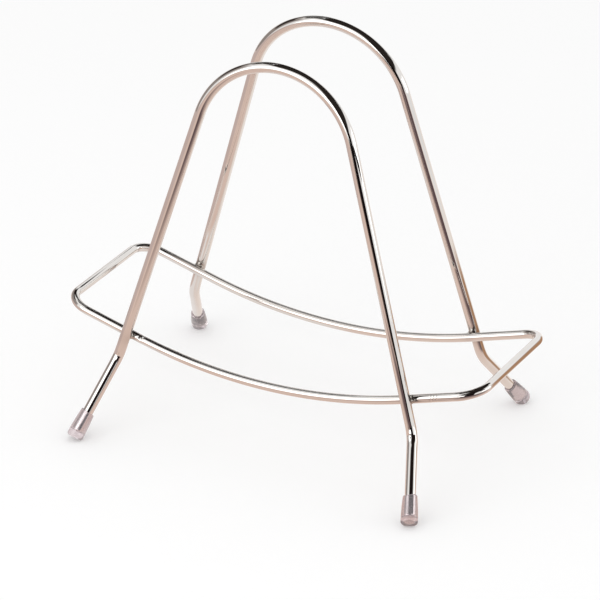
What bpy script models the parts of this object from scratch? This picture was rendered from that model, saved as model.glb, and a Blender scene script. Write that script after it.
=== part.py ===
"""Plate display stand bent from chrome plated steel wire.

Two arches lean towards each other at the top. A ring that sags in the middle is welded inside their
four legs, and plates stand in it between the arches. Below the ring each leg is bent outwards, and its
end sits in a soft clear cap. Metres, +Z up. The origin is on the floor, under the middle of the ring,
and the front arch is on the -Y side.
"""
import math

import bmesh
import bpy
from mathutils import Vector
from mathutils.geometry import intersect_line_line

# Clearance kept between pieces that touch on the real stand
clearance = 0.0003

# Arches, measured to the middle of the wire; the rear one is welded on a little to the left
arch_wire = 0.0048
arch_bend_radius = 0.0385
apex_height = 0.183
apex_spacing = 0.058
leg_splay = math.radians(16.3)
rear_arch_shift = -0.005

# Bends below the ring; each foot was bent by hand, so the front ones differ in height
front_left_kink_height = 0.0347
front_right_kink_height = 0.0297
rear_kink_height = 0.0313
kink_bend_radius = 0.014

# Slants of the lower legs from upright, seen from the front and from the side. All feet are about equally long, so
# the front right one, which starts lowest, slants the most.
front_left_foot_slant_sideways = math.radians(17.0)
front_left_foot_slant_away = math.radians(35.0)
front_right_foot_slant_sideways = math.radians(23.8)
front_right_foot_slant_away = math.radians(44.6)
rear_foot_slant_sideways = math.radians(19.0)
rear_foot_slant_away = math.radians(39.9)

# Ring, measured to the middle of the wire and seen from above
ring_wire = 0.004
ring_length = 0.204
ring_width = 0.071
ring_corner_radius = 0.0105

# The ring's sag: an arc in the middle, then straight ends that rise at an angle
cradle_low_height = 0.0334
cradle_radius = 0.24
cradle_end_angle = math.radians(16.0)

# Soft caps on the wire ends, worn flat where they stand on the floor
cap_length = 0.013
cap_wall = 0.0005
cap_flare = 0.0006
cap_floor = 0.0026
cap_edge_radius = 0.0013
cap_flat_depth = 0.0005

# Metal squeezed out of each weld: beyond the ring's wire, and to each side of the contact
weld_spread = 0.0011
weld_depth = 0.0017

# Fineness of the round shapes
wire_bevel_resolution = 6
bend_steps = 24
kink_steps = 6
corner_steps = 8
cradle_steps = 16
cap_sides = 28
edge_steps = 5
weld_segments = 24
weld_rings = 12
cutter_sides = 64
crease_angle = math.radians(40.0)

# Search for each arch's lean: the widest lean tried, halvings of it, and rounds to find a crossing
widest_lean = math.radians(40.0)
lean_steps = 50
crossing_steps = 8

# Values that follow from the sizes above
arch_radius = arch_wire / 2
ring_radius = ring_wire / 2
cap_bore_radius = arch_radius + clearance
cap_mouth_radius = cap_bore_radius + cap_wall
cap_base_radius = cap_mouth_radius + cap_flare
weld_radius = ring_radius + weld_spread
arch_side = {"front": -1, "rear": 1}
arch_shift = {"front": 0.0, "rear": rear_arch_shift}
leg_hand = {"left": -1, "right": 1}
kink_height = {
    ("front", -1): front_left_kink_height,
    ("front", 1): front_right_kink_height,
    ("rear", -1): rear_kink_height,
    ("rear", 1): rear_kink_height,
}
foot_slants = {
    ("front", -1): (front_left_foot_slant_sideways, front_left_foot_slant_away),
    ("front", 1): (front_right_foot_slant_sideways, front_right_foot_slant_away),
    ("rear", -1): (rear_foot_slant_sideways, rear_foot_slant_away),
    ("rear", 1): (rear_foot_slant_sideways, rear_foot_slant_away),
}


def make_material(name, colour, roughness, metallic, transmission):
    """A Principled material with one colour."""
    material = bpy.data.materials.new(name)
    material.use_nodes = True
    shader = material.node_tree.nodes["Principled BSDF"]
    shader.inputs["Base Color"].default_value = (*colour, 1.0)
    shader.inputs["Roughness"].default_value = roughness
    shader.inputs["Metallic"].default_value = metallic
    shader.inputs["Transmission Weight"].default_value = transmission
    return material


def add_object(name, data, stand):
    """Link a new object under the stand's empty."""
    item = bpy.data.objects.new(name, data)
    bpy.context.scene.collection.objects.link(item)
    item.parent = stand
    return item


def point_along(item, place, direction):
    """Put an object at a place with its own Z axis along a direction."""
    item.location = place
    item.rotation_mode = "QUATERNION"
    item.rotation_quaternion = direction.to_track_quat("Z", "Y")


def round_corner(before, corner, after, radius, steps):
    """Points of the arc that rounds a corner between two straight runs."""
    back = (before - corner).normalized()
    ahead = (after - corner).normalized()
    half_angle = back.angle(ahead) / 2
    reach = radius / math.tan(half_angle)
    middle = corner + (back + ahead).normalized() * (radius / math.sin(half_angle))
    start = (corner + back * reach - middle).normalized()
    end = (corner + ahead * reach - middle).normalized()
    return [middle + start.slerp(end, step / steps) * radius for step in range(steps + 1)]


def cradle_rise(x):
    """Height of the ring above its lowest point: an arc, then a straight tangent."""
    on_arc = min(abs(x), cradle_radius * math.sin(cradle_end_angle))
    rise = cradle_radius - math.sqrt(cradle_radius ** 2 - on_arc ** 2)
    return rise + (abs(x) - on_arc) * math.tan(cradle_end_angle)


def cradle_direction(x):
    """Unit direction of the ring's long side at x, towards +X."""
    slope = min(math.asin(min(abs(x) / cradle_radius, 1.0)), cradle_end_angle)
    return Vector((math.cos(slope), 0.0, math.copysign(math.sin(slope), x)))


def ring_point(x, y):
    """Point of the ring's centreline above a point of its plan."""
    return Vector((x, y, cradle_low_height + cradle_rise(x)))


def ring_side(side):
    """Sagging middle of a long side, left to right at the front and right to left at the rear."""
    straight_end = ring_length / 2 - ring_corner_radius
    arc_end = min(cradle_radius * math.sin(cradle_end_angle), straight_end)
    places = [arc_end * (2 * step / cradle_steps - 1) for step in range(cradle_steps + 1)]
    return [ring_point(-side * place, side * ring_width / 2) for place in places]


def ring_corner(x_sign, y_sign, start_angle):
    """Quarter turn of the ring's plan, anticlockwise from a start angle."""
    middle_x = x_sign * (ring_length / 2 - ring_corner_radius)
    middle_y = y_sign * (ring_width / 2 - ring_corner_radius)
    angles = [start_angle + math.pi / 2 * step / corner_steps for step in range(corner_steps + 1)]
    turned = [(math.cos(angle), math.sin(angle)) for angle in angles]
    return [ring_point(middle_x + ring_corner_radius * c, middle_y + ring_corner_radius * s)
            for c, s in turned]


def ring_centreline():
    """Closed path round the ring, anticlockwise from the left of its front side."""
    front = ring_side(-1) + ring_corner(1, -1, -math.pi / 2)
    rear = ring_corner(1, 1, 0.0) + ring_side(1)
    return front + rear + ring_corner(-1, 1, math.pi / 2) + ring_corner(-1, -1, math.pi)


def arch_point(row, lean, across, drop):
    """Point of an arch's plane, across from its middle and down the plane from its apex."""
    y = arch_side[row] * (apex_spacing / 2 + drop * math.sin(lean))
    return Vector((arch_shift[row] + across, y, apex_height - drop * math.cos(lean)))


def leg_line(row, lean, hand):
    """Top of an arch's straight leg, where the bend ends, and the leg's direction downwards."""
    across = hand * arch_bend_radius * math.cos(leg_splay)
    drop = arch_bend_radius * (1 - math.sin(leg_splay))
    top = arch_point(row, lean, across, drop)
    below = arch_point(row, lean, across + hand * math.sin(leg_splay), drop + math.cos(leg_splay))
    return top, below - top


def crossing(row, lean, hand):
    """Closest points of a leg and of the ring's long side beside it, to the middle of each wire."""
    top, down = leg_line(row, lean, hand)
    x = top.x
    for _ in range(crossing_steps):
        ring_place = ring_point(x, arch_side[row] * ring_width / 2)
        on_leg, on_ring = intersect_line_line(top, top + down, ring_place, ring_place + cradle_direction(x))
        x = on_ring.x
    return on_leg, on_ring


def arch_lean(row):
    """Lean of an arch's plane that lays both its legs against the outside of the ring."""
    needed = arch_radius + ring_radius + clearance
    low = -widest_lean
    high = widest_lean
    for _ in range(lean_steps):
        lean = (low + high) / 2
        spaces = []
        for hand in leg_hand.values():
            on_leg, on_ring = crossing(row, lean, hand)
            spaces.append(math.copysign((on_leg - on_ring).length, arch_side[row] * (on_leg - on_ring).y))
        if min(spaces) < needed:
            low = lean
        else:
            high = lean
    return high


def foot_direction(row, hand):
    """Unit direction of a lower leg, towards the floor."""
    slant_sideways, slant_away = foot_slants[row, hand]
    sideways = hand * math.tan(slant_sideways)
    away = arch_side[row] * math.tan(slant_away)
    return Vector((sideways, away, -1.0)).normalized()


def foot_place(row, lean, hand):
    """Kink of a leg, and the middle of its cap's end, set so that the cap is cut by its flat depth."""
    top, down = leg_line(row, lean, hand)
    kink = top + down * ((kink_height[row, hand] - top.z) / down.z)
    direction = foot_direction(row, hand)
    tilt = direction.angle(Vector((0.0, 0.0, -1.0)))
    rim_drop = (cap_base_radius - cap_edge_radius) * math.sin(tilt) + cap_edge_radius * (1 - math.cos(tilt))
    end_height = rim_drop - cap_flat_depth
    return kink, kink + direction * ((end_height - kink.z) / direction.z)


def leg_path(row, lean, hand):
    """Lower part of a leg, from the wire's end inside its cap up through the kink."""
    top, _ = leg_line(row, lean, hand)
    kink, cap_end = foot_place(row, lean, hand)
    wire_end = cap_end - foot_direction(row, hand) * (cap_floor + clearance)
    return [wire_end] + round_corner(wire_end, kink, top, kink_bend_radius, kink_steps)


def arch_centreline(row, lean):
    """Path of an arch's wire, from its left end over the top bend to its right end."""
    half_turn = math.pi / 2 - leg_splay
    angles = [half_turn * (2 * step / bend_steps - 1) for step in range(bend_steps + 1)]
    bend = [arch_point(row, lean, arch_bend_radius * math.sin(angle), arch_bend_radius * (1 - math.cos(angle)))
            for angle in angles]
    return leg_path(row, lean, -1) + bend + leg_path(row, lean, 1)[::-1]


def wire(name, path, diameter, closed, material, stand):
    """Round wire along a path, as a bevelled curve with filled ends."""
    curve = bpy.data.curves.new(name, "CURVE")
    curve.dimensions = "3D"
    curve.bevel_depth = diameter / 2
    curve.bevel_resolution = wire_bevel_resolution
    curve.use_fill_caps = not closed
    spline = curve.splines.new("POLY")
    spline.points.add(len(path) - 1)
    for place, point in zip(path, spline.points):
        point.co = (*place, 1.0)
    spline.use_cyclic_u = closed
    spline.use_smooth = True
    curve.materials.append(material)
    return add_object(name, curve, stand)


def cap_mesh(material):
    """Turned cup with its end face at zero and its mouth up, closed round the wire's end."""
    edge = [math.pi / 2 * step / edge_steps for step in range(edge_steps + 1)]
    outline = [(0.0, 0.0)]
    outline += [(cap_base_radius - cap_edge_radius * (1 - math.sin(angle)), cap_edge_radius * (1 - math.cos(angle)))
                for angle in edge]
    outline += [(cap_mouth_radius, cap_length), (cap_bore_radius, cap_length)]
    outline += [(cap_bore_radius, cap_floor), (0.0, cap_floor)]
    shape = bmesh.new()
    points = [shape.verts.new((radius, 0.0, height)) for radius, height in outline]
    lines = [shape.edges.new(pair) for pair in zip(points, points[1:])]
    bmesh.ops.spin(shape, geom=points + lines, cent=(0, 0, 0), axis=(0, 0, 1), angle=2 * math.pi,
                   steps=cap_sides, use_merge=True)
    bmesh.ops.remove_doubles(shape, verts=shape.verts[:], dist=1e-7)
    bmesh.ops.recalc_face_normals(shape, faces=shape.faces[:])
    mesh = bpy.data.meshes.new("foot_cap")
    shape.to_mesh(mesh)
    shape.free()
    mesh.shade_smooth()
    mesh.set_sharp_from_angle(angle=crease_angle)
    mesh.materials.append(material)
    return mesh


def weld_mesh(material):
    """Flattened bead of squeezed-out metal, with its own Z axis from the ring to the leg."""
    shape = bmesh.new()
    bmesh.ops.create_uvsphere(shape, u_segments=weld_segments, v_segments=weld_rings, radius=1.0)
    bmesh.ops.scale(shape, vec=(weld_radius, weld_radius, weld_depth), verts=shape.verts[:])
    mesh = bpy.data.meshes.new("weld")
    shape.to_mesh(mesh)
    shape.free()
    mesh.shade_smooth()
    mesh.materials.append(material)
    return mesh


def cutter(name, shape, stand):
    """Object that only cuts others: shown as wire and left out of the stand."""
    mesh = bpy.data.meshes.new(name)
    shape.to_mesh(mesh)
    shape.free()
    item = add_object(name, mesh, stand)
    item.hide_render = True
    item.display_type = "WIRE"
    return item


def rod_cutter(name, place, direction, radius, stand):
    """Round rod that clears a wire out of a weld."""
    length = 6 * weld_radius
    shape = bmesh.new()
    bmesh.ops.create_cone(shape, cap_ends=True, segments=cutter_sides, radius1=radius, radius2=radius,
                          depth=length)
    rod = cutter(name, shape, stand)
    point_along(rod, place, direction)
    return rod


def floor_cutter(stand):
    """Block under the floor that cuts the caps flat."""
    size = 2 * ring_length
    shape = bmesh.new()
    bmesh.ops.create_cube(shape, size=size)
    block = cutter("floor_cutter", shape, stand)
    block.location = (0.0, 0.0, -size / 2)
    return block


def cut(item, tool):
    """Take a cutter's shape out of an object."""
    step = item.modifiers.new("cut by " + tool.name, "BOOLEAN")
    step.operation = "DIFFERENCE"
    step.solver = "EXACT"
    step.object = tool


def add_weld(name, row, lean, hand, mesh, stand):
    """Bead round the place where a leg and the ring touch, cut clear of both wires."""
    on_leg, on_ring = crossing(row, lean, hand)
    across = (on_leg - on_ring).normalized()
    contact = (on_leg - across * arch_radius + on_ring + across * ring_radius) / 2
    weld = add_object(name, mesh, stand)
    point_along(weld, contact, across)
    _, down = leg_line(row, lean, hand)
    cut(weld, rod_cutter(name + "_leg_cutter", on_leg, down, arch_radius + clearance, stand))
    along = cradle_direction(on_ring.x)
    cut(weld, rod_cutter(name + "_ring_cutter", on_ring, along, ring_radius + clearance, stand))


def add_cap(name, row, lean, hand, mesh, floor, stand):
    """Cap on the end of a leg, along the leg and cut flat by the floor."""
    _, cap_end = foot_place(row, lean, hand)
    cap = add_object(name, mesh, stand)
    point_along(cap, cap_end, -foot_direction(row, hand))
    cut(cap, floor)


def build():
    """Make every piece of the stand."""
    for item in list(bpy.data.objects):
        bpy.data.objects.remove(item, do_unlink=True)
    chrome = make_material("chrome_plated_wire", (0.80, 0.79, 0.78), 0.08, 1.0, 0.0)
    bright_weld = make_material("chrome_plated_weld", (0.62, 0.61, 0.60), 0.22, 1.0, 0.0)
    clear_pvc = make_material("clear_pvc", (0.80, 0.74, 0.77), 0.25, 0.0, 0.6)
    stand = add_object("stand", None, None)
    floor = floor_cutter(stand)
    cap_shape = cap_mesh(clear_pvc)
    weld_shape = weld_mesh(bright_weld)
    wire("cradle_ring", ring_centreline(), ring_wire, True, chrome, stand)
    for row in arch_side:
        lean = arch_lean(row)
        wire("arch_" + row, arch_centreline(row, lean), arch_wire, False, chrome, stand)
        for side, hand in leg_hand.items():
            corner = row + "_" + side
            add_weld("weld_" + corner, row, lean, hand, weld_shape, stand)
            add_cap("foot_cap_" + corner, row, lean, hand, cap_shape, floor, stand)


build()
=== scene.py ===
# %% [markdown]
# # A plate display stand of chrome plated wire
#
# The real stand is bent from three lengths of steel wire. Two arches lean towards each other, a sagging ring
# is welded inside their legs, and a soft clear cap sits on each foot. Chrome has hardly any colour of its
# own, so most of this lesson is about smooth surfaces and about what stands around them to be reflected.
#
# The first cell loads the imported model, which stays where it is. The finished stand has to stay inside it.

import bpy
import numpy as np
from mathutils import Matrix


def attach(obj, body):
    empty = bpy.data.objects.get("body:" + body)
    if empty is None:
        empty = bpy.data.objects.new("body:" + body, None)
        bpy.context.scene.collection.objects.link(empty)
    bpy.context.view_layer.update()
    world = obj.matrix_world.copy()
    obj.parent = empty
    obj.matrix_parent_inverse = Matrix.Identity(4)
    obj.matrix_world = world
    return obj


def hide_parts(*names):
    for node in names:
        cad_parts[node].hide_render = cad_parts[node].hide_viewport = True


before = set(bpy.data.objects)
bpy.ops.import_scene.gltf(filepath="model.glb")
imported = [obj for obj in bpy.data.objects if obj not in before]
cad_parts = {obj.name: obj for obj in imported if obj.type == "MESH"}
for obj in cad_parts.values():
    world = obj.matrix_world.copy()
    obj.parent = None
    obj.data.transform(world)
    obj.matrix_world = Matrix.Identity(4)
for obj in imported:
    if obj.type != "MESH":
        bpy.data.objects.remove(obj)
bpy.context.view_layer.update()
scene = bpy.context.scene
scene.view_settings.view_transform = "Standard"

# %% [markdown]
# ## Helpers
#
# Sizes are written in millimetres and turned to metres by one factor. Colours are written as the hex values
# that a colour picker shows, and the renderer needs linear light, so one function converts them. One more
# function adds a shader node with its settings and links, which keeps each material short enough to read in
# one go.

# %% Units, colours and nodes
mm = 0.001


def linear(hex_colour):
    """Linear RGBA of an sRGB hex colour: c / 12.92 where c is dark, else ((c + 0.055) / 1.055) ** 2.4."""
    srgb = np.array([int(hex_colour[place:place + 2], 16) for place in (1, 3, 5)]) / 255
    light = np.where(srgb <= 0.04045, srgb / 12.92, ((srgb + 0.055) / 1.055) ** 2.4)
    return (*light.tolist(), 1.0)


def add_node(tree, kind, settings=None, links=None):
    """Add a node. Settings are its properties or input values, and links lead (node, output) to its
    inputs."""
    node = tree.nodes.new(kind)
    for key, value in (settings or {}).items():
        if isinstance(key, str) and hasattr(node, key):
            setattr(node, key, value)
        else:
            node.inputs[key].default_value = value
    for key, (source, output) in (links or {}).items():
        tree.links.new(source.outputs[output], node.inputs[key])
    return node


def new_material(name):
    """An empty material and its node tree, ready for a shader."""
    material = bpy.data.materials.new(name)
    material.use_nodes = True
    material.node_tree.nodes.clear()
    return material, material.node_tree


def unit(vectors):
    """Vectors divided by their own lengths."""
    vectors = np.asarray(vectors, float)
    return vectors / np.linalg.norm(vectors, axis=-1, keepdims=True)


def direction(longitude, latitude):
    """Unit vector, in degrees: longitude turns from +Y (behind the stand) towards +X, latitude rises from the
    floor."""
    turn, rise = np.radians([longitude, latitude])
    return np.array([np.sin(turn) * np.cos(rise), np.cos(turn) * np.cos(rise), np.sin(rise)])


print("white is", np.round(linear("#FFFFFF"), 3), "and mid grey is", np.round(linear("#808080"), 3))

# %% [markdown]
# ## The camera
#
# The photograph was taken from the front right, a little above, from far away: its parallel wires stay almost
# parallel. A camera's place could be guessed and nudged by eye. Here it was fitted, together with the wires'
# middle lines, to the photograph, so its angles are written with more figures than a guess would have.

# %% Camera
image_side = 600
sensor_width = 36.0
focal_pixels = 4800
camera_longitude = 153.276
camera_latitude = 25.267
camera_distance = 2.140
camera_roll = np.radians(0.721)
aim_height = 60.98 * mm
aim_right = -2.38 * mm

back = direction(camera_longitude, camera_latitude)
level_right = unit(np.cross((0.0, 0.0, 1.0), back))
level_up = np.cross(back, level_right)
camera_right = level_right * np.cos(camera_roll) + level_up * np.sin(camera_roll)
camera_up = level_up * np.cos(camera_roll) - level_right * np.sin(camera_roll)
aim = level_right * aim_right + np.array([0.0, 0.0, aim_height])

camera = bpy.data.objects.new("camera", bpy.data.cameras.new("camera"))
camera.data.sensor_width = sensor_width
camera.data.lens = focal_pixels * sensor_width / image_side
camera_turn = np.column_stack([camera_right, camera_up, back])
camera.matrix_world = Matrix.LocRotScale(aim + back * camera_distance, Matrix(camera_turn.tolist()), None)
scene.collection.objects.link(camera)
scene.camera = camera
print("camera at", np.round(camera.location, 3), "with a lens of", camera.data.lens, "mm")

# %% [markdown]
# ## Middle lines of the wires
#
# A bent wire is a chain of straight runs and round bends. It could be drawn as a bevelled curve, but the arcs
# of a curve object only come near to circles, and chrome shows every wobble. So the middle line is worked
# out: each corner of a rough path is swapped for a true arc that touches both runs. The arch's top is such a
# corner too, with its point far above the stand, where the two splayed legs would meet.

# %% Rounded paths
arc_step = np.radians(0.1)


def rounded_path(corners, radii):
    """Straight runs joined by arcs. With unit vectors a and b from a corner along its runs, and half their
    angle h, the arc's middle is corner + unit(a + b) * radius / sin(h), and the arc starts radius / tan(h)
    from the corner."""
    runs = [corners[:1]]
    for before, corner, after, radius in zip(corners, corners[1:], corners[2:], radii):
        ends = unit(np.array([before, after]) - corner)
        half = np.arccos(ends[0] @ ends[1]) / 2
        middle = corner + unit(ends.sum(axis=0)) * radius / np.sin(half)
        start, end = corner + ends * radius / np.tan(half) - middle
        turn = np.pi - 2 * half
        share = np.linspace(0, 1, int(turn / arc_step) + 2)[:, None]
        runs.append(middle + (np.sin((1 - share) * turn) * start + np.sin(share * turn) * end) / np.sin(turn))
    return np.concatenate(runs + [corners[-1:]])


def lengths_along(path):
    """Distance of each point of a path from its start, measured along the path."""
    return np.concatenate([[0.0], np.cumsum(np.linalg.norm(np.diff(path, axis=0), axis=1))])


def points_at(path, stations):
    """Points of a path at given distances from its start."""
    lengths = lengths_along(path)
    return np.stack([np.interp(stations, lengths, path[:, axis]) for axis in range(3)], axis=1)


# %% Sizes of the arches
arch_radius = 4.8 * mm / 2
arch_bend_radius = 38.5 * mm
apex_height = 183.0 * mm
apex_half_spacing = 58.0 * mm / 2
leg_splay = np.radians(16.3)
arch_lean = {"front": np.radians(4.603), "rear": np.radians(4.647)}
arch_side = {"front": -1, "rear": 1}
arch_shift = {"front": 0.0, "rear": -5.0 * mm}
leg_hand = {"left": -1, "right": 1}

kink_height = {("front", -1): 34.7 * mm, ("front", 1): 29.7 * mm, ("rear", -1): 31.3 * mm, ("rear", 1): 31.3 * mm}
kink_bend_radius = 14.0 * mm
foot_slants = {
    ("front", -1): (17.0, 35.0),
    ("front", 1): (23.8, 44.6),
    ("rear", -1): (19.0, 39.9),
    ("rear", 1): (19.0, 39.9),
}

cap_base_radius = 3.8 * mm
cap_edge_radius = 1.3 * mm
cap_flat_depth = 0.5 * mm
cap_floor = 2.6 * mm
wire_end_gap = 0.3 * mm


def arch_point(row, across, drop):
    """Point of an arch's leaning plane, across from its middle and down the plane from its apex."""
    lean = arch_lean[row]
    y = arch_side[row] * (apex_half_spacing + drop * np.sin(lean))
    return np.array([arch_shift[row] + across, y, apex_height - drop * np.cos(lean)])


def foot_direction(row, hand):
    """Unit direction of a lower leg, towards the floor."""
    sideways, away = np.tan(np.radians(foot_slants[row, hand]))
    return unit([hand * sideways, arch_side[row] * away, -1.0])


def foot_points(row, hand):
    """A leg's kink and the middle of its cap's end, low enough for the floor to press the cap's rim flat."""
    legs_meet = arch_bend_radius * (1 - 1 / np.sin(leg_splay))
    drop = (apex_height - kink_height[row, hand]) / np.cos(arch_lean[row])
    kink = arch_point(row, hand * (drop - legs_meet) * np.tan(leg_splay), drop)
    down = foot_direction(row, hand)
    tilt = np.arccos(-down[2])
    rim_drop = (cap_base_radius - cap_edge_radius) * np.sin(tilt) + cap_edge_radius * (1 - np.cos(tilt))
    end_height = rim_drop - cap_flat_depth
    return kink, kink + down * (end_height - kink[2]) / down[2]


def arch_path(row):
    """Middle line of an arch, from the end of its left leg over the top to the end of its right leg."""
    kinks, ends = {}, {}
    for hand in leg_hand.values():
        kinks[hand], cap_end = foot_points(row, hand)
        ends[hand] = cap_end - foot_direction(row, hand) * (cap_floor + wire_end_gap)
    legs_meet = arch_point(row, 0.0, arch_bend_radius * (1 - 1 / np.sin(leg_splay)))
    corners = np.array([ends[-1], kinks[-1], legs_meet, kinks[1], ends[1]])
    return rounded_path(corners, (kink_bend_radius, arch_bend_radius, kink_bend_radius))


arch_paths = {row: arch_path(row) for row in arch_side}
for row, path in arch_paths.items():
    print(row, "arch: wire", round(lengths_along(path)[-1] / mm, 1), "mm long, top at", round(path[:, 2].max() / mm, 2))

# %% [markdown]
# ## Middle line of the ring
#
# Seen from above the ring is a rectangle with round corners. Seen from the front it sags: an arc in the
# middle, then straight ends that rise at the arc's own end angle. So the plan comes first, as a rounded path,
# and the height is a formula of x alone. The path starts and ends at the middle of the rear side, where the
# wire's two ends are welded.

# %% Ring
ring_radius = 4.0 * mm / 2
ring_length = 204.0 * mm
ring_width = 71.0 * mm
ring_corner_radius = 10.5 * mm
cradle_low_height = 33.4 * mm
cradle_radius = 240.0 * mm
cradle_end_angle = np.radians(16.0)
plan_step = 0.2 * mm


def cradle_rise(x):
    """Height above the lowest point: radius - sqrt(radius^2 - x^2) on the arc, then a straight tangent."""
    on_arc = np.minimum(np.abs(x), cradle_radius * np.sin(cradle_end_angle))
    rise = cradle_radius - np.sqrt(cradle_radius ** 2 - on_arc ** 2)
    return rise + (np.abs(x) - on_arc) * np.tan(cradle_end_angle)


def ring_path():
    """Rounded rectangle in plan, lifted onto the sagging sheet z = low + cradle_rise(x)."""
    x, y = ring_length / 2, ring_width / 2
    plan = np.array([(0, y, 0), (-x, y, 0), (-x, -y, 0), (x, -y, 0), (x, y, 0), (0, y, 0)])
    flat = rounded_path(plan, [ring_corner_radius] * 4)
    total = lengths_along(flat)[-1]
    flat = points_at(flat, np.linspace(0, total, int(total / plan_step)))
    flat[:, 2] = cradle_low_height + cradle_rise(flat[:, 0])
    return flat


cradle_path = ring_path()
print("ring: wire", round(lengths_along(cradle_path)[-1] / mm, 1), "mm long, ends rise to",
      round(cradle_path[:, 2].max() / mm, 2))

# %% [markdown]
# ## Welds: where legs and ring touch
#
# Each leg lies against the outside of the ring, and a short burst of current fuses the two wires there. The
# place is the shortest line between the two middle lines, found on whole arrays of points.

# %% Weld places
weld_search_half = 12.0 * mm


def weld_place(row, hand):
    """Nearest points of a leg and of the ring, with the directions of both wires there."""
    leg, ring = arch_paths[row], cradle_path
    leg = leg[(leg[:, 0] - arch_shift[row]) * hand > 0]
    leg = points_at(leg, np.arange(0, lengths_along(leg)[-1], plan_step))
    leg = leg[np.abs(leg[:, 2] - cradle_low_height - weld_search_half) < weld_search_half]
    side = ring[(ring[:, 1] * arch_side[row] > 0) & (ring[:, 0] * hand > 0)]
    apart = np.linalg.norm(leg[:, None] - side[None], axis=2)
    on_leg, on_ring = np.unravel_index(apart.argmin(), apart.shape)
    leg_way = unit(leg[on_leg + 1] - leg[on_leg - 1])
    ring_way = unit(side[on_ring + 1] - side[on_ring - 1])
    return leg[on_leg], side[on_ring], leg_way, ring_way


weld_places = {(row, side): weld_place(row, hand) for row in arch_side for side, hand in leg_hand.items()}
weld_middles = np.array([(on_leg + on_ring) / 2 for on_leg, on_ring, _, _ in weld_places.values()])
for corner, (on_leg, on_ring, _, _) in weld_places.items():
    print("weld", *corner, "wires", round(np.linalg.norm(on_leg - on_ring) / mm, 2), "mm apart")

# %% [markdown]
# ## Sweeping a wire
#
# A wire is its section carried along its middle line. A plain circle would do from afar, but a bent wire
# isn't round in its bends: the bend squeezes it a little flat. The tool that bent each foot also left a
# shallow crease inside the kink, and the tongs that held the ring for welding pressed small dents into it.
# Dents catch the light, so they are real changes of the radius, worked out for the whole grid at once. What
# is pressed in on one side bulges on the other.
#
# Every point also remembers where it was on the straight wire, before bending. The finish uses that place, so
# that drawing lines run along the wire round every bend.

# %% Sweep
arch_sides = 56
ring_sides = 48
station_step = 0.6 * mm
fine_step = 0.12 * mm
fine_reach = 3.0 * mm
bend_squeeze = 0.09
end_chamfer = 0.35 * mm
crease_depth = 0.20 * mm
crease_width = 0.65 * mm
dent_bulge = 0.6
seam_wrap = 3
smooth_window = np.hanning(9) / np.hanning(9).sum()


def frames_along(points, stations, reference, closed_length):
    """Two unit vectors across a path, and its bend. The first is the reference made square to the tangent,
    the second their cross product, and the bend is the change of tangent per metre. A closed path goes on
    past its seam."""
    wrap = seam_wrap if closed_length else 0
    if wrap:
        points = np.concatenate([points[-wrap:], points, points[:wrap]])
        stations = np.concatenate([stations[-wrap:] - closed_length, stations, stations[:wrap] + closed_length])
    tangent = unit(np.gradient(points, stations, axis=0))
    bend = np.gradient(tangent, stations, axis=0)
    inner = slice(wrap, len(points) - wrap)
    tangent, bend = tangent[inner], bend[inner]
    side = unit(reference - tangent * (tangent @ reference)[:, None])
    return side, np.cross(tangent, side), bend


def swept_wire(path, stations, radius, sides, reference, closed_length=None, kinks=(), dents=()):
    """Grid of a wire: middle + r * (cos(a) * side + sin(a) * up). The radius r is squeezed in bends by 1 -
    squeeze * bend * radius * cos(2 * angle from the bend), pressed in by a crease inside each kink, and by
    depth * exp(-(distance along / width)^2) where a dent faces, with a share of that as a bulge behind it."""
    points = points_at(path, stations)
    side, up, bend = frames_along(points, stations, np.asarray(reference, float), closed_length)
    angle = np.linspace(0, 2 * np.pi, sides, endpoint=False)
    around = np.cos(angle)[None, :, None] * side[:, None] + np.sin(angle)[None, :, None] * up[:, None]
    sharpness = np.linalg.norm(bend, axis=1)
    inwards = bend / np.maximum(sharpness, 1e-6)[:, None]
    sharpness = np.convolve(np.pad(sharpness, 4, mode="edge"), smooth_window, mode="valid")
    facing = np.einsum("ijk,ik->ij", around, inwards)
    reach = radius * (1 - bend_squeeze * radius * sharpness[:, None] * (2 * facing ** 2 - 1))
    for kink in kinks:
        nearest = stations[np.linalg.norm(points - kink, axis=1).argmin()]
        groove = np.exp(-np.abs(stations - nearest) / crease_width)
        reach = reach - crease_depth * groove[:, None] * np.clip(facing, 0, 1) ** 1.5
    for place, width, depth, pressed_from in dents:
        nearest = stations[np.linalg.norm(points - place, axis=1).argmin()]
        dip = np.exp(-((stations - nearest) / width) ** 2)
        turned = around @ pressed_from
        reach = reach - depth * dip[:, None] * np.where(turned > 0, 1, -dent_bulge) * turned ** 2
    grid = points[:, None] + around * reach[..., None]
    straight = np.stack(np.broadcast_arrays(radius * np.cos(angle)[None], radius * np.sin(angle)[None],
                                            stations[:, None]), axis=-1)
    return grid, straight


def wire_stations(path, spots, closed=False):
    """Distances along a wire: even steps, and finer ones near each spot that carries a detail."""
    lengths = lengths_along(path)
    even = np.linspace(0, lengths[-1], int(lengths[-1] / station_step), endpoint=not closed)
    middles = np.array([lengths[np.linalg.norm(path - spot, axis=1).argmin()] for spot in spots])
    fine = np.arange(lengths[0], lengths[-1], fine_step)
    fine = fine[np.abs(fine[:, None] - middles).min(axis=1) < fine_reach]
    even = even[np.abs(even[:, None] - middles).min(axis=1) > fine_reach + fine_step]
    return np.sort(np.concatenate([even, fine]))


# %% Meshes from grids
crease_angle = np.radians(35)


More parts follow.
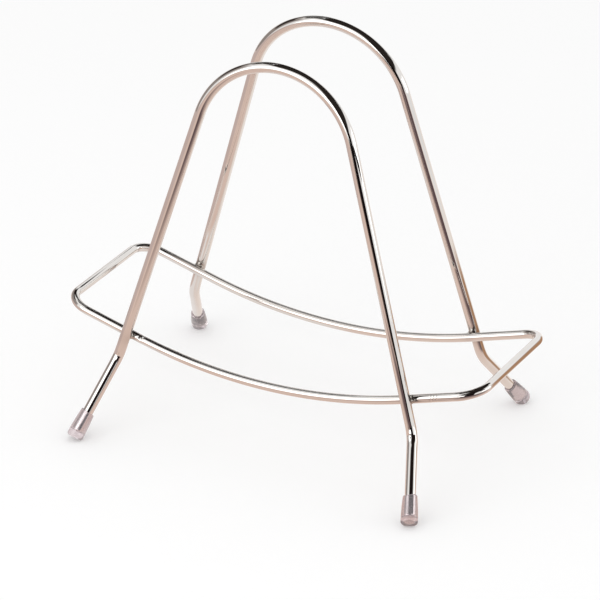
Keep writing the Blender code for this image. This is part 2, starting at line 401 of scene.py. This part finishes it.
def add_surface(name, grid, poles=None, attributes=None):
    """Mesh of a grid whose columns close round. Face (i, j) has the corners (i, j), (i, j + 1), (i + 1, j +
    1) and (i + 1, j). Its rows either run into two poles, with a fan of triangles each, or close into a
    ring."""
    rows, columns, _ = grid.shape
    index = np.arange(rows * columns).reshape(rows, columns)
    index = np.hstack([index, index[:, :1]])
    points = grid.reshape(-1, 3)
    fans = []
    if poles is None:
        index = np.vstack([index, index[:1]])
    else:
        first, last = np.full(columns, len(points)), np.full(columns, len(points) + 1)
        points = np.vstack([points, poles])
        fans += np.stack([first, index[0, 1:], index[0, :-1]], axis=-1).tolist()
        fans += np.stack([last, index[-1, :-1], index[-1, 1:]], axis=-1).tolist()
    quads = np.stack([index[:-1, :-1], index[:-1, 1:], index[1:, 1:], index[1:, :-1]], axis=-1)
    mesh = bpy.data.meshes.new(name)
    mesh.from_pydata(points.tolist(), [], quads.reshape(-1, 4).tolist() + fans)
    mesh.shade_smooth()
    mesh.set_sharp_from_angle(angle=crease_angle)
    for key, values in (attributes or {}).items():
        kind, field = ("FLOAT_VECTOR", "vector") if np.ndim(values) == 2 else ("FLOAT", "value")
        layer = mesh.attributes.new(key, kind, "POINT")
        layer.data.foreach_set(field, np.asarray(values, np.float32).ravel())
    piece = bpy.data.objects.new(name, mesh)
    scene.collection.objects.link(piece)
    return piece


def dress(piece, node, material):
    """Give a piece its finish, and let it stand for its node of the frame."""
    piece.data.materials.append(material)
    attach(piece, "root")
    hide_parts(node)


# %% [markdown]
# ## Bright chrome on drawn steel wire
#
# Wire is pulled through a die, which leaves fine lines along it. It is then polished, nickel plated and
# chromed. The eye gets a hard mirror with faint streaks, a slight waviness of the plating, and patches dulled
# by handling. Next to a weld the plating is thinner and greyer. A metal's look comes from its colour at right
# angles and from its roughness, so the streaks and patches change only the roughness, a small bump and a
# trace of the colour.

# %% Chrome
weld_haze_reach = 3.2 * mm
draw_line_width = 0.30 * mm
draw_line_length = 22.0 * mm
plating_wave_width = 2.4 * mm
handled_patch_width = 14.0 * mm


def weld_haze(points):
    """Haze round the welds: exp(-(distance / reach)^2), with the distance to the nearest weld."""
    apart = np.linalg.norm(points[:, None] - weld_middles[None], axis=2).min(axis=1)
    return np.exp(-(apart / weld_haze_reach) ** 2)


def chrome_plate():
    """Mirror plating: draw lines in the bump and roughness, plating waves in the bump, patches in the
    roughness."""
    material, tree = new_material("chrome_plated_steel_wire")
    place = add_node(tree, "ShaderNodeAttribute", {"attribute_name": "straight_wire"})
    haze = add_node(tree, "ShaderNodeAttribute", {"attribute_name": "weld_haze"})
    along = add_node(tree, "ShaderNodeVectorMath",
                     {"operation": "MULTIPLY", 1: (1.0, 1.0, draw_line_width / draw_line_length)},
                     {0: (place, "Vector")})
    # Real draw lines are some hundredths of a millimetre wide; they are drawn coarser so that they show
    lines = add_node(tree, "ShaderNodeTexNoise", {"Scale": 1 / draw_line_width, "Detail": 3.0, "Roughness": 0.6},
                     {"Vector": (along, "Vector")})
    waves = add_node(tree, "ShaderNodeTexNoise", {"Scale": 1 / plating_wave_width, "Detail": 1.0},
                     {"Vector": (place, "Vector")})
    patches = add_node(tree, "ShaderNodeTexNoise", {"Scale": 1 / handled_patch_width, "Detail": 4.0},
                       {"Vector": (place, "Vector")})
    streaks = add_node(tree, "ShaderNodeMapRange",
                       {"From Min": 0.35, "From Max": 0.75, "To Min": 0.02, "To Max": 0.06},
                       {"Value": (lines, "Fac")})
    dulled = add_node(tree, "ShaderNodeMapRange",
                      {"From Min": 0.50, "From Max": 0.80, "To Min": 0.0, "To Max": 0.05},
                      {"Value": (patches, "Fac")})
    finish = add_node(tree, "ShaderNodeMath", {"operation": "ADD"}, {0: (streaks, "Result"), 1: (dulled, "Result")})
    roughness = add_node(tree, "ShaderNodeMath", {"operation": "MULTIPLY_ADD", 1: 0.22},
                         {0: (haze, "Fac"), 2: (finish, "Value")})
    plate = add_node(tree, "ShaderNodeMix", {"data_type": "RGBA", 6: linear("#E9E7E5"), 7: linear("#DCD7D2")},
                     {0: (patches, "Fac")})
    colour = add_node(tree, "ShaderNodeMix", {"data_type": "RGBA", 7: linear("#8F8780")},
                      {0: (haze, "Fac"), 6: (plate, 2)})
    height = add_node(tree, "ShaderNodeMath", {"operation": "MULTIPLY_ADD", 1: 0.35},
                      {0: (lines, "Fac"), 2: (waves, "Fac")})
    bump = add_node(tree, "ShaderNodeBump", {"Strength": 1.0, "Distance": 0.002 * mm}, {"Height": (height, "Value")})
    shader = add_node(tree, "ShaderNodeBsdfPrincipled", {"Metallic": 1.0},
                      {"Base Color": (colour, 2), "Roughness": (roughness, "Value"), "Normal": (bump, "Normal")})
    add_node(tree, "ShaderNodeOutputMaterial", links={"Surface": (shader, "BSDF")})
    return material


chrome = chrome_plate()
print("material:", chrome.name)

# %% The two arches
for row in arch_side:
    kinks = [foot_points(row, hand)[0] for hand in leg_hand.values()]
    stations = wire_stations(arch_paths[row], kinks)
    grid, straight = swept_wire(arch_paths[row], stations, arch_radius, arch_sides, (0, 1, 0), kinks=kinks)
    middles = grid.mean(axis=1)
    from_end = np.minimum(stations, stations[-1] - stations)
    chamfer = np.clip((end_chamfer - from_end) / end_chamfer, 0, 1) * end_chamfer / arch_radius
    grid = grid + (middles[:, None] - grid) * chamfer[:, None, None]
    poles = middles[[0, -1]]
    straight = np.vstack([straight.reshape(-1, 3), [(0, 0, 0), (0, 0, stations[-1])]])
    haze = weld_haze(np.vstack([grid.reshape(-1, 3), poles]))
    arch = add_surface(row + "_arch_wire", grid, poles, {"straight_wire": straight, "weld_haze": haze})
    dress(arch, "arch_" + row, chrome)
    print(arch.name, len(arch.data.polygons), "faces")

# %% [markdown]
# Beside each front weld the ring carries the tongs' marks, always on the right of the leg. On the left it is
# one broad flat, pressed from above; on the right a row of three small teeth marks, pressed from the front.

# %% The ring
tong_marks = [("left", 5.8, 0.95, 0.40, direction(184, 62)),
              ("right", 10.4, 0.42, 0.11, direction(160, -12)),
              ("right", 11.9, 0.42, 0.13, direction(160, -12)),
              ("right", 13.3, 0.42, 0.10, direction(160, -12))]


def ring_dents():
    """Place, width, depth and facing of each tong mark, found along the ring from its weld, in
    millimetres."""
    front = cradle_path[cradle_path[:, 1] < 0]
    dents = []
    for side, beside, width, depth, pressed_from in tong_marks:
        along = weld_places["front", side][1][0] + beside * mm
        dents.append((front[np.abs(front[:, 0] - along).argmin()], width * mm, depth * mm, pressed_from))
    return dents


dents = ring_dents()
ring_total = lengths_along(cradle_path)[-1]
ring_stations = wire_stations(cradle_path, [dent[0] for dent in dents], closed=True)
grid, straight = swept_wire(cradle_path, ring_stations, ring_radius, ring_sides, (0, 0, 1), ring_total, dents=dents)
haze = weld_haze(grid.reshape(-1, 3))
cradle = add_surface("cradle_ring_wire", grid, None, {"straight_wire": straight.reshape(-1, 3), "weld_haze": haze})
dress(cradle, "cradle_ring", chrome)
print(cradle.name, len(cradle.data.polygons), "faces")

# %% [markdown]
# ## Weld fillets
#
# The weld is a small collar of metal between the two crossing wires, hollow like the web between two fingers.
# A sphere pushed into the crossing would bulge where the real one is drawn in. So the collar is a surface of
# two parameters: one goes round the weld, and one runs from the ring's wire up to the leg's. Its edges lie
# just under the skin of the wires, so that no gap shows.

# %% Weld shape
weld_reach = 3.0 * mm
weld_sink = 0.06 * mm
weld_hug = 0.92
weld_waist = 0.55 * mm
weld_ripple = 0.05
weld_columns = 56
weld_rows = 15
weld_random = np.random.default_rng(7)


def weld_collar(on_leg, on_ring, leg_way, ring_way):
    """Collar between the wires. Round the line that joins them, at the angle a, the edge on a wire of radius
    r lies at the smaller of the reach and hug * r / |sine of the angle to the wire|, and at the height
    sqrt(r^2 - across^2)."""
    rise = unit(on_leg - on_ring)
    ahead = unit(ring_way - rise * (ring_way @ rise))
    beside = np.cross(rise, ahead)
    leg_beside = unit(np.cross(rise, leg_way))
    angle = np.linspace(0, 2 * np.pi, weld_columns, endpoint=False)
    around = np.cos(angle)[:, None] * ahead + np.sin(angle)[:, None] * beside
    edges = []
    for middle, radius, across_way, way in ((on_ring, ring_radius, beside, 1), (on_leg, arch_radius, leg_beside, -1)):
        across = np.abs(around @ across_way)
        reach = np.minimum(weld_reach, weld_hug * radius / np.maximum(across, 1e-6))
        height = np.sqrt(radius ** 2 - (reach * across) ** 2) - weld_sink
        edges.append(middle + around * reach[:, None] + rise * (way * height)[:, None])
    share = np.linspace(0, 1, weld_rows)[:, None, None]
    phases = weld_random.uniform(0, 2 * np.pi, 3)
    ripple = sum(np.sin(count * angle + phase) for count, phase in zip((3, 5, 8), phases)) / 3
    waist = weld_waist * np.sin(np.pi * share) * (1 + weld_ripple * 4 * ripple[None, :, None])
    grid = (1 - share) * edges[0] + share * edges[1] - around * waist
    poles = np.array([on_ring + rise * ring_radius / 2, on_leg - rise * arch_radius / 2])
    return grid, poles


# %% [markdown]
# The fused metal was never polished: it is plated as it froze, so it is less sharp and greyer than the wire.
# A fine grain in the bump and in the roughness gives that, at the scale of the ripples on a small weld.

# %% Weld finish
weld_grain = 0.7 * mm


def plated_weld():
    """Chrome over an unpolished weld: grainy, greyer and less sharp than the wire."""
    material, tree = new_material("chrome_plated_weld")
    place = add_node(tree, "ShaderNodeTexCoord")
    grain = add_node(tree, "ShaderNodeTexNoise", {"Scale": 1 / weld_grain, "Detail": 4.0, "Roughness": 0.6},
                     {"Vector": (place, "Object")})
    roughness = add_node(tree, "ShaderNodeMapRange", {"To Min": 0.10, "To Max": 0.30}, {"Value": (grain, "Fac")})
    colour = add_node(tree, "ShaderNodeMix", {"data_type": "RGBA", 6: linear("#A29B94"), 7: linear("#CFC9C2")},
                      {0: (grain, "Fac")})
    bump = add_node(tree, "ShaderNodeBump", {"Strength": 1.0, "Distance": 0.06 * mm}, {"Height": (grain, "Fac")})
    shader = add_node(tree, "ShaderNodeBsdfPrincipled", {"Metallic": 1.0},
                      {"Base Color": (colour, 2), "Roughness": (roughness, "Result"), "Normal": (bump, "Normal")})
    add_node(tree, "ShaderNodeOutputMaterial", links={"Surface": (shader, "BSDF")})
    return material


weld_metal = plated_weld()
for (row, side), place in weld_places.items():
    grid, poles = weld_collar(*place)
    weld = add_surface("weld_collar_" + row + "_" + side, grid, poles)
    dress(weld, "weld_" + row + "_" + side, weld_metal)
    print(weld.name, "spans", np.round(np.ptp(grid.reshape(-1, 3), axis=0) / mm, 1), "mm")

# %% [markdown]
# ## Clear caps on the feet
#
# The caps are dipped in soft PVC and pushed onto the wire. They are wider at the closed end, which is solid,
# and the cut mouth is never quite square. A turned profile makes the cup with its bore, so that the wire
# really stands inside it and is seen through the wall, enlarged as by a lens. The floor presses the rim flat:
# every point that would lie below it is lifted to it, and moves outwards a little, as soft plastic does.

# %% Cap shape
cap_length = 13.0 * mm
cap_mouth_radius = 3.2 * mm
cap_grip = 0.015 * mm
cap_bore_radius = arch_radius - cap_grip
cap_bore_floor = cap_floor + wire_end_gap + cap_grip
cap_belly = 0.12 * mm
mouth_slant = 0.35 * mm
mouth_wave = 0.12 * mm
floor_spread = 0.5
floor_lift = 0.20 * mm
cap_columns = 72
cap_random = np.random.default_rng(11)


def cap_profile():
    """Radius and height of the cup's outline: end face, rounded edge, flared wall, round lip, bore and bore
    floor."""
    lip = (cap_mouth_radius - cap_bore_radius) / 2
    quarter = np.linspace(0, np.pi / 2, 14)
    half = np.linspace(0, np.pi, 13)[1:]
    share = np.linspace(0, 1, 30)[1:]
    face = np.linspace(0.1, 1, 8)[:-1] * (cap_base_radius - cap_edge_radius)
    wall = cap_base_radius + (cap_mouth_radius - cap_base_radius) * share + cap_belly * np.sin(np.pi * share)
    wall_top = cap_length - lip
    bore = np.linspace(wall_top, cap_bore_floor + end_chamfer, 24)[1:]
    bore_floor = np.linspace(1, 0.1, 8) * (cap_bore_radius - end_chamfer)
    radius = [face, cap_base_radius - cap_edge_radius * (1 - np.sin(quarter)), wall,
              cap_bore_radius + lip + lip * np.cos(half), np.full(bore.size, cap_bore_radius), bore_floor]
    height = [np.zeros(face.size), cap_edge_radius * (1 - np.cos(quarter)),
              cap_edge_radius + (wall_top - cap_edge_radius) * share, wall_top + lip * np.sin(half), bore,
              np.full(bore_floor.size, cap_bore_floor)]
    return np.concatenate(radius), np.concatenate(height)


def cap_cup(row, hand):
    """Cup turned round a foot: end + r * (cos(a) * side + sin(a) * up) + h * axis, with its mouth cut
    unevenly."""
    _, end = foot_points(row, hand)
    axis = -foot_direction(row, hand)
    side = unit(np.cross((0.0, 0.0, 1.0), axis))
    up = np.cross(axis, side)
    radius, height = cap_profile()
    angle = np.linspace(0, 2 * np.pi, cap_columns, endpoint=False)
    slant_turn, wave_turn = cap_random.uniform(0, 2 * np.pi, 2)
    uneven = mouth_slant * np.cos(angle - slant_turn) + mouth_wave * np.cos(3 * angle - wave_turn)
    near_mouth = np.clip(height / cap_length * 2 - 1, 0, 1) ** 2
    height = height[:, None] + near_mouth[:, None] * uneven[None]
    around = np.cos(angle)[:, None] * side + np.sin(angle)[:, None] * up
    grid = end + around[None] * radius[:, None, None] + axis * height[..., None]
    below = np.maximum(floor_lift - grid[..., 2], 0)
    outwards = unit(grid[..., :2] - end[:2])
    grid[..., :2] += outwards * (floor_spread * below)[..., None]
    grid[..., 2] += below
    return grid, np.array([end, end + axis * cap_bore_floor])


# %% [markdown]
# Clear PVC bends light as window glass does, so its index is near 1.53. Plasticiser makes it soft, slightly
# cloudy and faintly violet. The cloud is a share of light that scatters instead of passing, and its surface
# is satin with slow waves from the dipping.

# %% Cap finish
pvc_wave = 2.2 * mm
pvc_cloud = 3.5 * mm


def clear_pvc():
    """Dipped clear PVC: mostly passes light, a little cloudy, with a satin and slightly wavy skin."""
    material, tree = new_material("clear_soft_pvc")
    place = add_node(tree, "ShaderNodeTexCoord")
    waves = add_node(tree, "ShaderNodeTexNoise", {"Scale": 1 / pvc_wave, "Detail": 2.0}, {"Vector": (place, "Object")})
    clouds = add_node(tree, "ShaderNodeTexNoise", {"Scale": 1 / pvc_cloud, "Detail": 3.0},
                      {"Vector": (place, "Object")})
    roughness = add_node(tree, "ShaderNodeMapRange", {"To Min": 0.03, "To Max": 0.13}, {"Value": (waves, "Fac")})
    passing = add_node(tree, "ShaderNodeMapRange", {"To Min": 0.90, "To Max": 0.74}, {"Value": (clouds, "Fac")})
    colour = add_node(tree, "ShaderNodeMix", {"data_type": "RGBA", 6: linear("#F4ECF0"), 7: linear("#E6DBE0")},
                      {0: (clouds, "Fac")})
    bump = add_node(tree, "ShaderNodeBump", {"Strength": 1.0, "Distance": 0.04 * mm}, {"Height": (waves, "Fac")})
    shader = add_node(tree, "ShaderNodeBsdfPrincipled", {"IOR": 1.53},
                      {"Base Color": (colour, 2), "Roughness": (roughness, "Result"),
                       "Transmission Weight": (passing, "Result"), "Normal": (bump, "Normal")})
    add_node(tree, "ShaderNodeOutputMaterial", links={"Surface": (shader, "BSDF")})
    return material


pvc = clear_pvc()
for row in arch_side:
    for side, hand in leg_hand.items():
        grid, poles = cap_cup(row, hand)
        cap = add_surface("clear_cap_" + row + "_" + side, grid, poles)
        dress(cap, "foot_cap_" + row + "_" + side, pvc)
        print(cap.name, "stands at", round(grid[..., 2].min() / mm, 2), "mm")

# %% [markdown]
# ## Floor and background
#
# The photograph's background is plain white. More light would bleach the stand as well, so the floor and the
# world are white for what looks at them directly: the camera, and mirrored or refracted views of them. The
# floor is mostly an ordinary pale surface, so the stand's shadow stays on it.

# %% Floor and world
floor_half = 6.0
floor_glow = 0.13
world_light = 0.90


def seen_directly(tree):
    """One for camera rays and for mirrored and refracted ones, zero for the light that falls on things."""
    path = add_node(tree, "ShaderNodeLightPath")
    mirrored = add_node(tree, "ShaderNodeMath", {"operation": "MAXIMUM"},
                        {0: (path, "Is Camera Ray"), 1: (path, "Is Glossy Ray")})
    return add_node(tree, "ShaderNodeMath", {"operation": "MAXIMUM"},
                    {0: (mirrored, "Value"), 1: (path, "Is Transmission Ray")})


def pale_floor():
    """Matt pale floor that is white where it is seen."""
    material, tree = new_material("pale_floor")
    seen = seen_directly(tree)
    glow = add_node(tree, "ShaderNodeMath", {"operation": "MULTIPLY", 1: floor_glow}, {0: (seen, "Value")})
    shader = add_node(tree, "ShaderNodeBsdfPrincipled",
                      {"Base Color": linear("#F0F0F0"), "Roughness": 1.0, "Specular IOR Level": 0.0,
                       "Emission Color": linear("#FFFFFF")}, {"Emission Strength": (glow, "Value")})
    add_node(tree, "ShaderNodeOutputMaterial", links={"Surface": (shader, "BSDF")})
    return material


floor_corners = floor_half * np.array([(-1, -1, 0), (1, -1, 0), (1, 1, 0), (-1, 1, 0)])
floor_mesh = bpy.data.meshes.new("floor")
floor_mesh.from_pydata(floor_corners.tolist(), [], [(0, 1, 2, 3)])
floor_mesh.materials.append(pale_floor())
floor = bpy.data.objects.new("floor", floor_mesh)
scene.collection.objects.link(floor)

world = bpy.data.worlds.new("studio")
world.use_nodes = True
world.node_tree.nodes.clear()
world.cycles.sampling_method = "NONE"
seen = seen_directly(world.node_tree)
lighting = add_node(world.node_tree, "ShaderNodeBackground", {"Color": linear("#FFFFFF"), "Strength": world_light})
backdrop = add_node(world.node_tree, "ShaderNodeBackground", {"Color": linear("#FFFFFF"), "Strength": 1.0})
choice = add_node(world.node_tree, "ShaderNodeMixShader",
                  links={0: (seen, "Value"), 1: (lighting, "Background"), 2: (backdrop, "Background")})
add_node(world.node_tree, "ShaderNodeOutputWorld", links={"Surface": (choice, "Shader")})
scene.world = world
print("floor", floor_half * 2, "m wide")

# %% [markdown]
# ## Lamps
#
# Two soft boxes light the stand, as in a small product studio: a large one in front on the left, and a long
# low one on the right. A soft box is described by how bright it looks, because that is what the chrome
# mirrors. Its power follows from that: brightness times pi times its area.

# %% Soft boxes
stand_middle = np.array([0.0, 0.0, 0.5 * apex_height])


def place_facing(item, longitude, latitude, distance):
    """Put an item in a direction from the stand's middle, with its own -Z axis towards that middle."""
    away = direction(longitude, latitude)
    right = unit(np.cross((0.0, 0.0, 1.0), away))
    turn = np.column_stack([right, np.cross(away, right), away])
    item.matrix_world = Matrix.LocRotScale(stand_middle + away * distance, Matrix(turn.tolist()), None)


def soft_box(name, longitude, latitude, distance, width, height, brightness):
    """Rectangular area lamp that faces the stand."""
    lamp = bpy.data.lights.new(name, "AREA")
    lamp.shape = "RECTANGLE"
    lamp.size = width
    lamp.size_y = height
    lamp.energy = brightness * np.pi * width * height
    item = bpy.data.objects.new(name, lamp)
    item.visible_camera = False
    scene.collection.objects.link(item)
    place_facing(item, longitude, latitude, distance)
    print(name, round(lamp.energy, 1), "W")


soft_box("soft_box_front_left", -165, 20, 1.5, 1.5, 1.1, 1.15)
soft_box("soft_box_right", 74, 10, 1.5, 1.3, 0.40, 1.0)

# %% [markdown]
# ## Cards to be mirrored
#
# In a wholly white room chrome turns white and loses its shape. A photographer sets dark and coloured cards
# around it, outside the picture. Here a dark canopy hangs overhead, with a low valance in front, a small
# ledge near the right foot, and curtains behind and on the left. A black screen stands where the photographer
# would, with a low one beside it. A grey screen stands on the left, a wooden board behind on the right, and
# warm sheets lie on the table, which is brown towards the front.
#
# The photograph is burnt out along the ring's rear side: only a thin dark line is left of it. So pale strips
# lie close above and below that side and hide most of the canopy and the table from it. The upper strip is
# tan on top, which keeps the table's colour for the rear leg that looks down on it.
#
# Only mirrored and refracted rays meet the cards, so they neither shade the floor nor stand in the way of
# another view. Their edges fade, as those of out-of-focus cards do.

# %% Cards
card_cells = 24


def card_finish(name, hex_colour):
    """Evenly lit card that fades to nothing where its solid attribute goes to zero."""
    material, tree = new_material(name)
    solid = add_node(tree, "ShaderNodeAttribute", {"attribute_name": "solid"})
    clear = add_node(tree, "ShaderNodeBsdfTransparent")
    lit = add_node(tree, "ShaderNodeEmission", {"Color": linear(hex_colour), "Strength": 1.0})
    mixed = add_node(tree, "ShaderNodeMixShader",
                     links={0: (solid, "Fac"), 1: (clear, "BSDF"), 2: (lit, "Emission")})
    add_node(tree, "ShaderNodeOutputMaterial", links={"Surface": (mixed, "Shader")})
    return material


def add_card(name, middle, across, rise, fade, hex_colour):
    """Flat card middle + u * across + v * rise, with u and v from -1 to 1. It is solid inside and fades out
    over the last share, fade, of its half width and half height."""
    u, v = np.meshgrid(np.linspace(-1, 1, card_cells), np.linspace(-1, 1, card_cells), indexing="ij")
    solid = np.clip((1 - np.abs(u)) / fade, 0, 1) * np.clip((1 - np.abs(v)) / fade, 0, 1)
    grid = np.asarray(middle) + u[..., None] * np.asarray(across) + v[..., None] * np.asarray(rise)
    index = np.arange(card_cells ** 2).reshape(card_cells, card_cells)
    quads = np.stack([index[:-1, :-1], index[1:, :-1], index[1:, 1:], index[:-1, 1:]], axis=-1)
    mesh = bpy.data.meshes.new(name)
    mesh.from_pydata(grid.reshape(-1, 3).tolist(), [], quads.reshape(-1, 4).tolist())
    mesh.attributes.new("solid", "FLOAT", "POINT").data.foreach_set("value", solid.ravel().astype(np.float32))
    mesh.materials.append(card_finish(name, hex_colour))
    card = bpy.data.objects.new(name, mesh)
    card.visible_camera = False
    card.visible_diffuse = False
    card.visible_shadow = False
    scene.collection.objects.link(card)


def standing_card(name, longitude, latitude, distance, width, height, fade, hex_colour):
    """Card in a direction from the stand's middle, facing it."""
    away = direction(longitude, latitude)
    right = unit(np.cross((0.0, 0.0, 1.0), away))
    add_card(name, stand_middle + away * distance, right * width / 2, np.cross(away, right) * height / 2, fade,
             hex_colour)


def lying_card(name, longitude, reach, width, height, fade, hex_colour):
    """Level card over a stretch of ground: reach gives its near and far end along a longitude from the stand,
    and width its left and right edge as seen along that line. A near end below zero lies behind the stand."""
    ahead = direction(longitude, 0)
    right = unit(np.cross(ahead, (0.0, 0.0, 1.0)))
    middle = ahead * sum(reach) / 2 + right * sum(width) / 2 + np.array([0.0, 0.0, height])
    add_card(name, middle, right * (width[1] - width[0]) / 2, ahead * (reach[1] - reach[0]) / 2, fade, hex_colour)


lying_card("dark_canopy", 156, (-0.06, 0.80), (-0.48, 0.06), 0.40, 0.34, "#2C2725")
lying_card("canopy_edge", 160, (-0.207, 0.14), (-0.46, 0.18), 0.41, 0.08, "#2C2725")
lying_card("dark_valance", 170, (0.20, 0.38), (-0.168, 0.12), 0.165, 0.12, "#231E1E")
add_card("dark_ledge", (0.23, -0.07, 0.165), (0.197, 0.098, 0.0), (0.02, -0.04, 0.0), 0.20, "#1E1716")
add_card("canopy_left", (-0.195, 0.05, 0.41), (0.075, 0.0, 0.0), (0.0, 0.10, 0.0), 0.30, "#2C2725")
add_card("left_curtain", (-0.40, 0.15, 0.345), (0.0, 0.21, 0.0), (0.0, 0.0, 0.095), 0.20, "#3A3331")
add_card("rear_curtain", (-0.09, 0.30, 0.443), (0.33, 0.0, 0.0), (0.0, 0.0, 0.158), 0.06, "#191413")
add_card("rear_curtain_low", (-0.168, 0.30, 0.237), (0.05, 0.0, 0.0), (0.0, 0.0, 0.025), 0.20, "#2A2523")
standing_card("black_screen", 146, 8, 0.86, 0.60, 1.25, 0.06, "#150F0F")
standing_card("black_screen_low", 171, -3.6, 0.95, 0.30, 0.18, 0.10, "#1E1716")
standing_card("grey_screen", -80, 9, 1.0, 1.8, 1.6, 0.25, "#9D9591")
lying_card("cream_sheet", 180, (-1.6, 1.6), (-1.6, 1.6), 0.05 * mm, 0.1, "#FFF7F1")
lying_card("tan_sheet", 180, (-0.11, 1.0), (-0.60, 0.70), 0.10 * mm, 0.22, "#E8CFC3")
lying_card("pink_grey_sheet", -75, (0.10, 1.05), (-1.15, 0.58), 0.13 * mm, 0.24, "#D3BFB9")
lying_card("brown_floor", 140, (0.08, 1.3), (-0.36, 0.25), 0.16 * mm, 0.22, "#665456")
lying_card("brown_floor_right", 140, (0.42, 1.1), (0.22, 0.62), 0.17 * mm, 0.22, "#75655F")
lying_card("white_paper", -95, (0.07, 0.155), (-0.10, 0.20), 0.18 * mm, 0.37, "#F6F1EF")
add_card("wooden_board", (0.13, 0.075, 0.037), (-0.03, 0.052, 0.0), (0.0, 0.0, 0.043), 0.42, "#B58D6E")
add_card("pale_strip", (-0.02, 0.0225, 0.062), (0.07, 0.0, 0.0), (0.0, 0.0145, 0.0), 0.35, "#F4F2F0")
add_card("tan_strip", (-0.02, 0.0225, 0.063), (0.07, 0.0, 0.0), (0.0, 0.0145, 0.0), 0.35, "#E8CFC3")
add_card("pale_strip_low", (-0.04, 0.024, 0.020), (0.042, 0.0, 0.0), (0.0, 0.024, 0.0), 0.40, "#F2EBE7")
